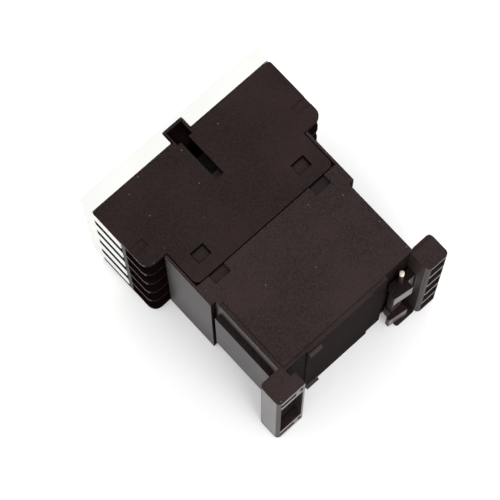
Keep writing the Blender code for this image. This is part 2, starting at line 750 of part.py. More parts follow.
def latch_rear_guide():
    """The depth of the face that guides the rear of the latch's tail."""
    return SEAT + RAIL_FLANGE_SLOT + GAP


def latch_space():
    """The channel of the rail latch, its tail's guide and its spring's pocket."""
    channel_front = SEAT - FOOT_ROOT + LATCH_CHANNEL_FLOOR / 2
    tail_half = LATCH_TAIL_WIDTH / 2 + GAP
    spring_half = LATCH_SPRING_DIAMETER / 2 + GAP
    spring_y = latch_spring_y()
    return [
        block(
            (LATCH_FOOT_INNER, LATCH_TIP + GAP),
            (channel_front, DEPTH + PAST),
            (-PAST, WIDTH + PAST),
        ),
        block(
            (LATCH_TAIL_END - LATCH_TRAVEL - GAP, LATCH_FOOT_INNER + PAST),
            (channel_front, latch_rear_guide()),
            (MID - tail_half, MID + tail_half),
        ),
        block(
            (latch_spring_end() - GAP, LATCH_FOOT_INNER),
            (spring_y - spring_half, spring_y + spring_half),
            (MID - spring_half, MID + spring_half),
        ),
    ]


def latch_spring_y():
    front = SEAT - FOOT_ROOT + LATCH_CHANNEL_FLOOR / 2
    return (front + latch_rear_guide()) / 2


def latch_spring_end():
    return LATCH_TAIL_END - GAP - LATCH_SPRING_LENGTH


def snap_bosses():
    """Bosses on the neck that the tongues' windows snap over."""
    bosses = []
    boss_y = (WINDOW_START + GAP, WINDOW_START + WINDOW_WIDTH - GAP)
    root = TONGUE_THICKNESS + GAP + TONGUE_SUPPORT / 2
    for side in SIDES.values():
        boss_x = (
            side * WINDOW_CENTRE - WINDOW_LENGTH / 2 + GAP,
            side * WINDOW_CENTRE + WINDOW_LENGTH / 2 - GAP,
        )
        bosses.append(block(boss_x, boss_y, (BOSS_DROP, root)))
        bosses.append(block(boss_x, boss_y, (WIDTH - root, WIDTH - BOSS_DROP)))
    return bosses


def spring_seats():
    """Ledges inside the base that the two return springs stand on."""
    seat_y = (SPRING_SEAT_FRONT, SPRING_SEAT_FRONT + SPRING_SEAT_THICKNESS)
    seat_x = (CORE_HALF + 2 * GAP, CAVITY_HALF + PAST)
    seat_z = (MID - CARRIER_WING_WIDTH / 2, MID + CARRIER_WING_WIDTH / 2)
    return [side_block(side, seat_x, seat_y, seat_z) for side in SIDES.values()]


def rail_latch():
    """A slide with two noses behind the rail's edge, a slotted bar, a tail and a peg."""
    front = SEAT - FOOT_ROOT + LATCH_CHANNEL_FLOOR / 2 + GAP
    bar_rear = latch_rear_guide() - GAP
    nose_rear = DEPTH - LATCH_NOSE_INSET
    outline = [
        (LATCH_BACK, front),
        (LATCH_EDGE - GAP, front),
        (LATCH_EDGE - GAP, bar_rear),
        (LATCH_TIP, bar_rear),
        (LATCH_TIP, nose_rear - LATCH_RAMP),
        (LATCH_BACK, nose_rear),
    ]
    latch = prism(outline, (LATCH_START, LATCH_START + LATCH_NOSE_WIDTH), "rail_latch")
    bar_x = (LATCH_BACK + GAP, LATCH_EDGE - 2 * GAP)
    bar_y = (front + GAP, bar_rear - GAP)
    half = LATCH_TAIL_WIDTH / 2
    peg_radius = LATCH_PEG_DIAMETER / 2
    peg_centre = (-LATCH_PEG_X, (front + bar_rear) / 2)
    peg = [
        (peg_centre[0] + peg_radius * math.cos(angle), peg_centre[1] + peg_radius * math.sin(angle))
        for angle in (math.tau * step / 16 for step in range(16))
    ]
    unite(
        latch,
        [
            prism(outline, (LATCH_END - LATCH_NOSE_WIDTH, LATCH_END)),
            block(bar_x, bar_y, (LATCH_START + GAP, LATCH_END - GAP)),
            block((LATCH_TAIL_END, LATCH_BACK + PAST), (front, bar_rear), (MID - half, MID + half)),
            prism(peg, (LATCH_END - PAST, LATCH_PEG_END)),
        ],
    )
    middle = (LATCH_START + LATCH_END) / 2
    slots = []
    for index in range(LATCH_SLOTS):
        low = middle + (index - LATCH_SLOTS / 2) * LATCH_SLOT_PITCH
        slot_x = (LATCH_BACK + PAST, LATCH_EDGE - PAST)
        slot_y = (bar_rear - LATCH_SLOT_DEPTH, bar_rear + PAST)
        slots.append(block(slot_x, slot_y, (low, low + LATCH_SLOT_WIDTH)))
    cut(latch, slots)
    return finish(latch, DARK_PLASTIC)


def terminal_screw(name, x, z):
    """A screw along Y, with its origin on its axis at the front of its head."""
    place = (x, HEAD_FRONT, z)
    head = rod(SCREW_HEAD_DIAMETER, (0, SCREW_HEAD_HEIGHT), name=name, location=place)
    end = BAR_DEPTH + BAR_THICKNESS + SCREW_PAST_BAR - HEAD_FRONT
    shank_y = (SCREW_HEAD_HEIGHT - PAST, end)
    unite(head, [rod(SCREW_SHANK_DIAMETER, shank_y, location=place, segments=16)])
    long = (-DRIVE_SLOT_LENGTH / 2, DRIVE_SLOT_LENGTH / 2)
    short = (-DRIVE_SLOT_WIDTH / 2, DRIVE_SLOT_WIDTH / 2)
    deep = (-PAST, DRIVE_SLOT_DEPTH)
    cut(head, [block(long, deep, short, location=place), block(short, deep, long, location=place)])
    return finish(head, STEEL)


def clamp_plate(name, x, z):
    """A captive plate under a screw's head, with its origin on the screw's axis."""
    place = (x, CLAMP_FRONT, z)
    plate = block(
        (-CLAMP_LENGTH / 2, CLAMP_LENGTH / 2),
        (0, CLAMP_THICKNESS),
        (-CLAMP_WIDTH / 2, CLAMP_WIDTH / 2),
        name,
        place,
    )
    hole = SCREW_SHANK_DIAMETER + 2 * GAP
    cut(plate, [rod(hole, (-PAST, CLAMP_THICKNESS + PAST), location=place, segments=16)])
    return finish(plate, STEEL)


def screw_opening(side, z):
    """The hole in a terminal bar that the screw's shank goes through."""
    bar_y = (BAR_DEPTH - PAST, BAR_DEPTH + BAR_THICKNESS + PAST)
    return rod(SCREW_SHANK_DIAMETER + 2 * GAP, bar_y, side * SCREW_X, z, segments=16)


def terminal_bar(name, side, inner, z):
    x = sorted((side * inner, side * (HALF_HEIGHT - BAR_EDGE)))
    bar_y = (BAR_DEPTH, BAR_DEPTH + BAR_THICKNESS)
    return block(x, bar_y, (z - BAR_WIDTH / 2, z + BAR_WIDTH / 2), name)


def fixed_contact(name, side, index):
    z = column_z(index)
    bar = terminal_bar(name, side, CONTACT_X - CONTACT_BUTTON_DIAMETER / 2 - GAP, z)
    button_y = (BAR_DEPTH - CONTACT_BUTTON_HEIGHT, BAR_DEPTH + BAR_THICKNESS / 2)
    unite(bar, [rod(CONTACT_BUTTON_DIAMETER, button_y, side * CONTACT_X, z, segments=20)])
    cut(bar, [screw_opening(side, z)])
    return finish(bar, SILVERED_BRASS)


def coil_terminal(name, side):
    """The coil's terminal bar, with a leg that goes back to the bobbin."""
    z = column_z(COIL_COLUMN)
    bar = terminal_bar(name, side, COIL_LEG_X, z)
    leg_x = (COIL_LEG_X, COIL_LEG_X + COIL_LEG_THICKNESS)
    leg_y = (BAR_DEPTH, BOBBIN_FRONT - GAP)
    leg_z = (coil_leg_z() - COIL_LEG_WIDTH / 2, coil_leg_z() + COIL_LEG_WIDTH / 2)
    unite(bar, [side_block(side, leg_x, leg_y, leg_z)])
    cut(bar, [screw_opening(side, z)])
    return finish(bar, SILVERED_BRASS)


def coil_leg_z():
    return column_z(COIL_COLUMN) - BAR_WIDTH / 2 + COIL_LEG_WIDTH / 2


def contact_bridge(name, index):
    """A moving bridge, with its origin at its middle, on the line that it slides along."""
    place = (0, BRIDGE_FRONT, column_z(index))
    bridge = block(
        (-BRIDGE_HALF_LENGTH, BRIDGE_HALF_LENGTH),
        (0, BRIDGE_THICKNESS),
        (-BRIDGE_WIDTH / 2, BRIDGE_WIDTH / 2),
        name,
        place,
    )
    button_y = (BRIDGE_THICKNESS / 2, BRIDGE_THICKNESS + CONTACT_BUTTON_HEIGHT)
    buttons = [
        rod(CONTACT_BUTTON_DIAMETER, button_y, side * CONTACT_X, location=place, segments=20)
        for side in SIDES.values()
    ]
    unite(bridge, buttons)
    return finish(bridge, COPPER)


def contact_carrier():
    first = column_z(0)
    last = column_z(CONTACT_COLUMNS[-1])
    reach = BRIDGE_WIDTH / 2 + GAP + CARRIER_WEB
    carrier = block(
        (-CARRIER_HALF, CARRIER_HALF),
        (BRIDGE_WINDOW_START - CARRIER_WEB, BRIDGE_WINDOW_END + 2 * CARRIER_WEB),
        (first - reach, last + reach),
        "contact_carrier",
    )
    plate_y = (CARRIER_PLATE_FRONT, PLATE_REAR)
    half_x = INDICATOR_THICKNESS / 2
    half_z = INDICATOR_WIDTH / 2
    plate_half = CARRIER_PLATE_WIDTH / 2
    wing_half = CARRIER_WING_WIDTH / 2
    stem_y = (BRIDGE_WINDOW_END, CARRIER_PLATE_FRONT + PAST)
    stem_edge = TONGUE_THICKNESS + TONGUE_SUPPORT + 2 * GAP
    solids = [
        block((-CARRIER_HALF, CARRIER_HALF), stem_y, (stem_edge, WIDTH - stem_edge)),
        block((-half_x, half_x), (INDICATOR_FRONT, BRIDGE_WINDOW_START), (MID - half_z, MID + half_z)),
        block((-CORE_HALF, CORE_HALF), plate_y, (MID - plate_half, MID + plate_half)),
        block(
            (-CARRIER_WING_HALF, CARRIER_WING_HALF), plate_y, (MID - wing_half, MID + wing_half)
        ),
    ]
    lug_start = CORE_THICKNESS / 2 + GAP
    for side in SIDES.values():
        lug_z = sorted((MID + side * lug_start, MID + side * (lug_start + PIN_LUG_THICKNESS)))
        lug_y = (PLATE_REAR - PAST, MOVING_YOKE_REAR)
        solids.append(block((-CARRIER_HALF, CARRIER_HALF), lug_y, lug_z))
    unite(carrier, solids)
    holes = []
    for index in CONTACT_COLUMNS:
        z = column_z(index)
        half = BRIDGE_WIDTH / 2 + GAP
        window_y = (BRIDGE_WINDOW_START, BRIDGE_WINDOW_END)
        window_x = (-CARRIER_HALF - PAST, CARRIER_HALF + PAST)
        holes.append(block(window_x, window_y, (z - half, z + half)))
    holes.append(pin_rod(PIN_DIAMETER + 2 * GAP, CORE_THICKNESS / 2 + GAP + PIN_LUG_THICKNESS + PAST))
    cut(carrier, holes)
    return finish(carrier, CARRIER_PLASTIC)


def pin_rod(diameter, half_length, name="rod"):
    """A cylinder along Z through the moving core's yoke."""
    bm = bmesh.new()
    bmesh.ops.create_cone(
        bm,
        cap_ends=True,
        segments=16,
        radius1=diameter / 2,
        radius2=diameter / 2,
        depth=2 * half_length,
    )
    return shape(name, bm, (0, (MOVING_YOKE_FRONT + MOVING_YOKE_REAR) / 2, MID))


def core_pin():
    half = CORE_THICKNESS / 2 + GAP + PIN_LUG_THICKNESS
    return finish(pin_rod(PIN_DIAMETER, half, "core_pin"), STEEL)


def core_outline(tip, yoke_near, yoke_far):
    """The outline of an E core, from one end of its yoke round its three legs."""
    leg_inner = CORE_HALF - CORE_OUTER_LEG
    centre = CORE_CENTRE_LEG / 2
    return [
        (-CORE_HALF, yoke_far),
        (-CORE_HALF, tip),
        (-leg_inner, tip),
        (-leg_inner, yoke_near),
        (-centre, yoke_near),
        (-centre, tip),
        (centre, tip),
        (centre, yoke_near),
        (leg_inner, yoke_near),
        (leg_inner, tip),
        (CORE_HALF, tip),
        (CORE_HALF, yoke_far),
    ]


def core_z():
    return (MID - CORE_THICKNESS / 2, MID + CORE_THICKNESS / 2)


def moving_core():
    outline = core_outline(MOVING_TIP, MOVING_YOKE_REAR, MOVING_YOKE_FRONT)
    core = prism(outline, core_z(), "moving_core")
    cut(core, [pin_rod(PIN_DIAMETER + 2 * GAP, CORE_THICKNESS / 2 + PAST)])
    return finish(core, CORE_STEEL)


def ring_centre():
    """The distance from the middle of the shading slot in each outer pole."""
    return CORE_HALF - CORE_OUTER_LEG / 2


def fixed_core():
    outline = core_outline(FIXED_TIP, FIXED_REAR - CORE_YOKE, FIXED_REAR)
    core = prism(outline, core_z(), "fixed_core")
    half = RING_BAR / 2 + GAP
    slot_x = (ring_centre() - half, ring_centre() + half)
    slot_y = (FIXED_TIP - PAST, FIXED_TIP + RING_HEIGHT + 2 * GAP)
    slot_z = (core_z()[0] - PAST, core_z()[1] + PAST)
    cut(core, [side_block(side, slot_x, slot_y, slot_z) for side in SIDES.values()])
    return finish(core, CORE_STEEL)


def shading_ring(name, side):
    """A short-circuit ring round the outer half of a pole."""
    ring_y = (FIXED_TIP + GAP, FIXED_TIP + GAP + RING_HEIGHT)
    inner_x = (ring_centre() + RING_BAR / 2, CORE_HALF + GAP)
    outer_x = (ring_centre() - RING_BAR / 2, CORE_HALF + GAP + RING_BAR)
    inner_z = (core_z()[0] - GAP, core_z()[1] + GAP)
    outer_z = (inner_z[0] - RING_BAR, inner_z[1] + RING_BAR)
    ring = side_block(side, outer_x, ring_y, outer_z)
    ring.name = name
    hole_y = (ring_y[0] - PAST, ring_y[1] + PAST)
    cut(ring, [side_block(side, inner_x, hole_y, inner_z)])
    return finish(ring, COPPER)


def core_buffer():
    buffer_y = (BUFFER_FRONT, BUFFER_FRONT + BUFFER_THICKNESS)
    pad = block((-BUFFER_HALF, BUFFER_HALF), buffer_y, core_z(), "core_buffer")
    return finish(pad, RUBBER)


def bobbin_tube():
    """Half sizes in X and Z of the bobbin's opening and of its tube."""
    open_x = CORE_CENTRE_LEG / 2 + BOBBIN_CLEARANCE
    open_z = CORE_THICKNESS / 2 + BOBBIN_CLEARANCE
    return open_x, open_z, open_x + BOBBIN_WALL, open_z + BOBBIN_WALL


def coil_bobbin():
    open_x, open_z, tube_x, tube_z = bobbin_tube()
    flange_z = tube_z + BOBBIN_FLANGE_MARGIN
    bobbin = block(
        (-tube_x, tube_x), (BOBBIN_FRONT, BOBBIN_REAR), (MID - tube_z, MID + tube_z), "coil_bobbin"
    )
    solids = []
    for front in (BOBBIN_FRONT, BOBBIN_REAR - BOBBIN_FLANGE):
        flange_y = (front, front + BOBBIN_FLANGE)
        flange = block((-BOBBIN_HALF, BOBBIN_HALF), flange_y, (MID - flange_z, MID + flange_z))
        solids.append(flange)
    post_y = (BOBBIN_FRONT, BOBBIN_FRONT + COIL_POST_THICKNESS)
    post_x = (BOBBIN_HALF - COIL_POST_LENGTH, BOBBIN_HALF)
    post_z = (MID + flange_z - WINDING_INSET + GAP, coil_leg_z() + COIL_LEG_WIDTH / 2)
    solids += [side_block(side, post_x, post_y, post_z) for side in SIDES.values()]
    unite(bobbin, solids)
    hole_y = (BOBBIN_FRONT - PAST, BOBBIN_REAR + PAST)
    cut(bobbin, [block((-open_x, open_x), hole_y, (MID - open_z, MID + open_z))])
    return finish(bobbin, BOBBIN_PLASTIC)


def coil_winding():
    _, _, tube_x, tube_z = bobbin_tube()
    outer_x = BOBBIN_HALF - WINDING_INSET
    outer_z = tube_z + BOBBIN_FLANGE_MARGIN - WINDING_INSET
    wound_y = (BOBBIN_FRONT + BOBBIN_FLANGE + GAP, BOBBIN_REAR - BOBBIN_FLANGE - GAP)
    winding = block(
        (-outer_x, outer_x), wound_y, (MID - outer_z, MID + outer_z), "coil_winding"
    )
    hole_y = (wound_y[0] - PAST, wound_y[1] + PAST)
    inner_x = tube_x + GAP
    inner_z = tube_z + GAP
    cut(winding, [block((-inner_x, inner_x), hole_y, (MID - inner_z, MID + inner_z))])
    return finish(winding, COPPER)


def main():
    front_cover()
    marker_plate()
    contact_housing()
    base_housing()
    rail_latch()
    spring(
        "latch_spring",
        STEEL,
        LATCH_SPRING_DIAMETER,
        LATCH_SPRING_WIRE,
        LATCH_SPRING_LENGTH,
        4,
        (latch_spring_end(), latch_spring_y(), MID),
        along_x=True,
    )
    for key, side in SIDES.items():
        for index in range(COLUMNS):
            number = index + 1
            z = column_z(index)
            terminal_screw(f"terminal_screw_{key}{number}", side * SCREW_X, z)
            clamp_plate(f"clamp_plate_{key}{number}", side * SCREW_X, z)
        for index in CONTACT_COLUMNS:
            fixed_contact(f"fixed_contact_{key}{index + 1}", side, index)
        coil_terminal(f"coil_terminal_{key}", side)
        shading_ring(f"shading_ring_{key}", side)
        spring(
            f"return_spring_{key}",
            STEEL,
            RETURN_SPRING_DIAMETER,
            RETURN_SPRING_WIRE,
            RETURN_SPRING_LENGTH,
            5,
            (side * RETURN_SPRING_X, RETURN_SPRING_FRONT, MID),
        )
    for index in CONTACT_COLUMNS:
        contact_bridge(f"contact_bridge_{index + 1}", index)
        spring(
            f"contact_spring_{index + 1}",
            STEEL,
            CONTACT_SPRING_DIAMETER,
            CONTACT_SPRING_WIRE,
            CONTACT_SPRING_LENGTH,
            3.5,
            (0, CONTACT_SPRING_FRONT, column_z(index)),
        )
    contact_carrier()
    moving_core()
    core_pin()
    fixed_core()
    core_buffer()
    coil_bobbin()
    coil_winding()


main()
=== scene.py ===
"""The looks of a small DIN rail contactor that lies on its side on a pale table."""

import math

import bmesh
import bpy
from mathutils import Matrix, Vector


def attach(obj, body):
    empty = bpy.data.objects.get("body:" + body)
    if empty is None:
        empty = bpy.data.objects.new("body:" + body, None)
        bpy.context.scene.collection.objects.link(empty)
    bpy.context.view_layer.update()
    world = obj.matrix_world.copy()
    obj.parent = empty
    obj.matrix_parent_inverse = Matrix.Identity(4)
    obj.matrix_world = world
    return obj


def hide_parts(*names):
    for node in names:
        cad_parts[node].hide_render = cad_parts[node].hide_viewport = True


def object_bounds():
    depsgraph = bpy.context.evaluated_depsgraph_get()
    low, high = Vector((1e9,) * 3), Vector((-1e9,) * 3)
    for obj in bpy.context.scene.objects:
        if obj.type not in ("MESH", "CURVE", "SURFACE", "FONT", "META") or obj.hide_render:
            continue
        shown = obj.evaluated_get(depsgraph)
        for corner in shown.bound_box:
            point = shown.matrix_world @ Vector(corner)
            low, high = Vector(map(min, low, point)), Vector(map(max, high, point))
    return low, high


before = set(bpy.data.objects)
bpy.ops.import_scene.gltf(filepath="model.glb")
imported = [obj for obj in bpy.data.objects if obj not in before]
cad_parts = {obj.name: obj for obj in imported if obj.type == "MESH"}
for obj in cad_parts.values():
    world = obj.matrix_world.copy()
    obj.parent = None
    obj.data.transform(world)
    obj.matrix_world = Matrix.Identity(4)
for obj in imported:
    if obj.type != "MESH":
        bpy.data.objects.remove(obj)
cad_box = [list(corner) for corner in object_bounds()]

# The camera looks down on the side face from beyond the terminal and rail sides, a long way off
# with a long lens, so the sides show only as narrow strips.
MM = 0.001
view_target = Vector((3.2 * MM, -2.32 * MM, 22.5 * MM))
view_azimuth = math.radians(138.31)
view_elevation = math.radians(75.27)
view_roll = math.radians(-0.68)
view_distance = 579.1 * MM
camera_data = bpy.data.cameras.new("camera")
camera_data.lens = 165.6
camera_data.sensor_width = 36
camera_data.clip_start = 0.01
camera = bpy.data.objects.new("camera", camera_data)
bpy.context.scene.collection.objects.link(camera)
view_back = Vector(
    (
        math.sin(view_azimuth) * math.cos(view_elevation),
        -math.cos(view_azimuth) * math.cos(view_elevation),
        math.sin(view_elevation),
    )
)
view_right = Vector((0, 0, 1)).cross(view_back).normalized()
view_up = view_back.cross(view_right)
turned_right = view_right * math.cos(view_roll) + view_up * math.sin(view_roll)
turned_up = view_up * math.cos(view_roll) - view_right * math.sin(view_roll)
view_place = view_target + view_back * view_distance
camera.matrix_world = Matrix.Translation(view_place) @ Matrix(
    (turned_right, turned_up, view_back)
).transposed().to_4x4()
bpy.context.scene.camera = camera
bpy.context.scene.view_settings.view_transform = "Standard"


# The table is a light table of opal acrylic with a matt top, much larger than the contactor.
# It glows faintly from below, so the contactor casts only a pale shadow.
def paint(code):
    """An sRGB hex colour as linear red, green, blue and alpha."""
    channels = [int(code[place : place + 2], 16) / 255 for place in (1, 3, 5)]
    linear = [c / 12.92 if c <= 0.04045 else ((c + 0.055) / 1.055) ** 2.4 for c in channels]
    return (*linear, 1)


def finish_called(name):
    """A new material with an empty tree and a shader joined to its output."""
    made = bpy.data.materials.new(name)
    made.use_nodes = True
    tree = made.node_tree
    tree.nodes.clear()
    shader = tree.nodes.new("ShaderNodeBsdfPrincipled")
    output = tree.nodes.new("ShaderNodeOutputMaterial")
    tree.links.new(shader.outputs["BSDF"], output.inputs["Surface"])
    return made, tree, shader


def settle(tree, made, values):
    """Sets or links the sockets of a node."""
    for name, value in values.items():
        if isinstance(value, bpy.types.NodeSocket):
            tree.links.new(value, made.inputs[name])
        else:
            made.inputs[name].default_value = value


def put(tree, kind, values=None, out=0, **traits):
    """Adds a node with its settings and links, and gives one of its outputs."""
    made = tree.nodes.new(kind)
    for name, value in traits.items():
        setattr(made, name, value)
    settle(tree, made, values or {})
    return made.outputs[out]


# Opal acrylic, bead-blasted: white, with a barely visible mottle
FIRST, SECOND, MIXED = 6, 7, 2
table_finish, tree, shader = finish_called("opal_acrylic_blasted")
place = put(tree, "ShaderNodeTexCoord", out="Object")
mottle = put(tree, "ShaderNodeTexNoise", {"Vector": place, "Scale": 900, "Detail": 2}, "Fac")
table_colour = put(
    tree,
    "ShaderNodeMix",
    {"Factor": mottle, FIRST: paint("#F4F4F4"), SECOND: paint("#F8F8F8")},
    MIXED,
    data_type="RGBA",
)
settle(
    tree,
    shader,
    {
        "Base Color": table_colour,
        "Roughness": 0.85,
        "Specular IOR Level": 0.2,
        "Emission Color": paint("#FFFFFF"),
        "Emission Strength": 0.16,
    },
)

table_reach = 2.0
bm = bmesh.new()
bmesh.ops.create_grid(bm, x_segments=2, y_segments=2, size=table_reach)
table_mesh = bpy.data.meshes.new("table")
bm.to_mesh(table_mesh)
bm.free()
table_mesh.materials.append(table_finish)
table = bpy.data.objects.new("table", table_mesh)
bpy.context.scene.collection.objects.link(table)

# Soft studio light: a bright even room, and three large diffusers round the table
room_strength = 0.95
world = bpy.data.worlds.new("room")
world.use_nodes = True
world.node_tree.nodes["Background"].inputs["Color"].default_value = paint("#FFFFFF")
world.node_tree.nodes["Background"].inputs["Strength"].default_value = room_strength
bpy.context.scene.world = world


def diffuser(name, place, size, power):
    """A square area light that faces the middle of the table."""
    data = bpy.data.lights.new(name, "AREA")
    data.shape = "SQUARE"
    data.size = size
    data.energy = power
    lamp = bpy.data.objects.new(name, data)
    lamp.location = place
    lamp.rotation_euler = (-Vector(place)).to_track_quat("-Z", "Y").to_euler()
    bpy.context.scene.collection.objects.link(lamp)


diffuser("diffuser_far", (-1.1, -0.3, 0.9), 0.9, 2)
diffuser("diffuser_front", (-0.3, -1.1, 0.9), 0.9, 0.8)
diffuser("diffuser_near", (0.1, 1.2, 0.7), 0.8, 10)


# The front cover is a white thermoplastic moulding with five flaps a side in front of the
# terminals. It clips over the contact housing and comes off for wiring.
WELD_DISTANCE = 0.002 * MM
FLAT_ANGLE = math.radians(0.5)
SHARP_ANGLE = math.radians(28)


def divide(bm, axis, along):
    """Cuts a mesh's faces at a place along an axis, and gives the new edges."""
    point = Vector((0, 0, 0))
    point[axis] = along
    facing = Vector((0, 0, 0))
    facing[axis] = 1
    everything = [*bm.verts, *bm.edges, *bm.faces]
    cut = bmesh.ops.bisect_plane(bm, geom=everything, plane_co=point, plane_no=facing)
    return [part for part in cut["geom_cut"] if isinstance(part, bmesh.types.BMEdge)]


def smoothed(node, name, edge, splits=(), hole_rows=()):
    """A copy of a CAD node with its facets joined and its sharp edges eased.

    Flat faces are divided at each of the splits, an axis and a place along it. The hole rows,
    given in the same way, run through the holes in large faces, and the facets on their two
    sides aren't joined: a face with a hole in it would not fill cleanly.
    """
    bm = bmesh.new()
    bm.from_mesh(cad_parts[node].data)
    bmesh.ops.remove_doubles(bm, verts=bm.verts, dist=WELD_DISTANCE)
    for axis, along in hole_rows:
        for kept_edge in divide(bm, axis, along):
            kept_edge.seam = True
    bmesh.ops.remove_doubles(bm, verts=bm.verts, dist=WELD_DISTANCE)
    bmesh.ops.dissolve_limit(
        bm,
        angle_limit=FLAT_ANGLE,
        verts=bm.verts,
        edges=bm.edges,
        delimit={"NORMAL", "SEAM"},
    )
    for axis, along in splits:
        divide(bm, axis, along)
    bmesh.ops.remove_doubles(bm, verts=bm.verts, dist=WELD_DISTANCE)
    mesh = bpy.data.meshes.new(name)
    bm.to_mesh(mesh)
    bm.free()
    mesh.shade_smooth()
    piece = bpy.data.objects.new(name, mesh)
    bpy.context.scene.collection.objects.link(piece)
    easing = piece.modifiers.new("eased_edges", "BEVEL")
    easing.width = edge
    easing.segments = 2
    easing.limit_method = "ANGLE"
    easing.angle_limit = SHARP_ANGLE
    easing.miter_outer = "MITER_ARC"
    levelling = piece.modifiers.new("level_faces", "WEIGHTED_NORMAL")
    levelling.mode = "FACE_AREA"
    levelling.weight = 100
    levelling.keep_sharp = False
    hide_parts(node)
    return piece


# Satin ABS moulding: a barely warm white, a faint grain and a low soft gloss
white_finish, tree, shader = finish_called("white_abs_satin_moulded")
place = put(tree, "ShaderNodeTexCoord", out="Object")
# the grain is 0.3 mm across; real spark grain of 0.05 mm would not show
grain = put(tree, "ShaderNodeTexNoise", {"Vector": place, "Scale": 3300, "Detail": 3}, "Fac")
# flow marks some 15 mm across, from the moulding
flow = put(tree, "ShaderNodeTexNoise", {"Vector": place, "Scale": 60, "Detail": 4}, "Fac")
white_colour = put(
    tree,
    "ShaderNodeMix",
    {"Factor": flow, FIRST: paint("#DFE0DB"), SECOND: paint("#EBECE8")},
    MIXED,
    data_type="RGBA",
)
white_gloss = put(tree, "ShaderNodeMapRange", {"Value": flow, "To Min": 0.34, "To Max": 0.5})
relief = put(
    tree, "ShaderNodeBump", {"Height": grain, "Strength": 0.12, "Distance": 0.05 * MM}, "Normal"
)
settle(
    tree,
    shader,
    {
        "Base Color": white_colour,
        "Roughness": white_gloss,
        "Normal": relief,
        "IOR": 1.53,
        "Subsurface Weight": 0.08,
        "Subsurface Radius": (1.0, 0.95, 0.9),
        "Subsurface Scale": 1.0 * MM,
    },
)

# the rows of screw holes, the accessory slots, and the marker frame and window in the middle
cover_rows = [(0, along * MM) for along in (-25.2, -12.5, 0, 12.5, 25.2)]
cover = smoothed("front_cover", "white_cover", 0.22 * MM, hole_rows=cover_rows)
cover.data.materials.append(white_finish)
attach(cover, "housing")

# The marker plate is a loose slip of smooth white polycarbonate, pressed into its frame in the
# cover, where the panel builder writes the contactor's number.
marker_finish, tree, shader = finish_called("marker_slip_polycarbonate")
place = put(tree, "ShaderNodeTexCoord", out="Object")
# faint clouds 8 mm across, from handling
cloud = put(tree, "ShaderNodeTexNoise", {"Vector": place, "Scale": 120, "Detail": 3}, "Fac")
marker_colour = put(
    tree,
    "ShaderNodeMix",
    {"Factor": cloud, FIRST: paint("#F1F1EC"), SECOND: paint("#F7F7F3")},
    MIXED,
    data_type="RGBA",
)
marker_gloss = put(tree, "ShaderNodeMapRange", {"Value": cloud, "To Min": 0.22, "To Max": 0.32})
settle(tree, shader, {"Base Color": marker_colour, "Roughness": marker_gloss, "IOR": 1.58})
marker = smoothed("marker_plate", "marker_slip", 0.15 * MM)
marker.data.materials.append(marker_finish)
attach(marker, "housing")


# The contact housing is a dark glass-filled polyamide moulding with partitions between the poles.
# The base housing, of the same material, snaps to it, holds the magnet and has the rail feet.
def moulded_dark(name, deep, raised, smudge_colour, gloss, shine, grit, dust_share):
    """Dark polyamide from a spark-eroded mould: a fine grain, soft smudges and a little dust."""
    made, tree, shader = finish_called(name)
    place = put(tree, "ShaderNodeTexCoord", out="Object")
    # the eroded grain is drawn 0.35 mm across, about twice its real size, so that it shows
    grain = put(
        tree,
        "ShaderNodeTexNoise",
        {"Vector": place, "Scale": 2900, "Detail": 4, "Roughness": 0.75},
        "Fac",
    )
    grain_tone = put(
        tree, "ShaderNodeMapRange", {"Value": grain, "From Min": 0.36, "From Max": 0.64}
    )
    # smudges from handling, 10 to 20 mm across
    smudge = put(tree, "ShaderNodeTexNoise", {"Vector": place, "Scale": 62, "Detail": 5}, "Fac")
    smudge_share = put(
        tree,
        "ShaderNodeMapRange",
        {"Value": smudge, "From Min": 0.42, "From Max": 0.78, "To Max": 0.6},
    )
    # dust specks of 0.2 to 0.35 mm, one in a few of the 2.4 mm cells
    cells = tree.nodes.new("ShaderNodeTexVoronoi")
    settle(tree, cells, {"Vector": place, "Scale": 420})
    near_middle = put(
        tree,
        "ShaderNodeMath",
        {0: cells.outputs["Distance"], 1: 0.055},
        operation="LESS_THAN",
    )
    chance = put(tree, "ShaderNodeSeparateColor", {"Color": cells.outputs["Color"]}, "Red")
    chosen = put(tree, "ShaderNodeMath", {0: chance, 1: dust_share}, operation="LESS_THAN")
    dust = put(tree, "ShaderNodeMath", {0: near_middle, 1: chosen}, operation="MULTIPLY")
    body = put(
        tree,
        "ShaderNodeMix",
        {"Factor": grain_tone, FIRST: paint(deep), SECOND: paint(raised)},
        MIXED,
        data_type="RGBA",
    )
    smudged = put(
        tree,
        "ShaderNodeMix",
        {"Factor": smudge_share, FIRST: body, SECOND: paint(smudge_colour)},
        MIXED,
        data_type="RGBA",
    )
    dusted = put(
        tree,
        "ShaderNodeMix",
        {"Factor": dust, FIRST: smudged, SECOND: paint("#776D6B")},
        MIXED,
        data_type="RGBA",
    )
    rough = put(
        tree, "ShaderNodeMapRange", {"Value": smudge, "To Min": gloss, "To Max": gloss + 0.15}
    )
    relief = put(
        tree,
        "ShaderNodeBump",
        {"Height": grain, "Strength": grit, "Distance": 0.06 * MM},
        "Normal",
    )
    settle(
        tree,
        shader,
        {
            "Base Color": dusted,
            "Roughness": rough,
            "Normal": relief,
            "IOR": 1.52,
            "Specular IOR Level": shine,
        },
    )
    return made


dark_finish = moulded_dark(
    "polyamide_spark_eroded", "#0B0504", "#2A1B1A", "#30211F", 0.42, 0.14, 0.7, 0.45
)
# the base comes from another mould, with a slightly lighter and coarser grain
base_finish = moulded_dark(
    "polyamide_spark_eroded_coarse", "#100908", "#332524", "#382A29", 0.42, 0.16, 0.8, 0.4
)
# the rail side and the insides of the pockets are left coarser, so they give no sheen; they are
# also painted much darker, as painted shade on the side away from the light and in deep pockets,
# recesses and gaps between ribs
matt_shade_finish = moulded_dark(
    "polyamide_coarse_painted_shade", "#0A0404", "#150A09", "#180D0C", 0.75, 0.03, 0.4, 0.0
)
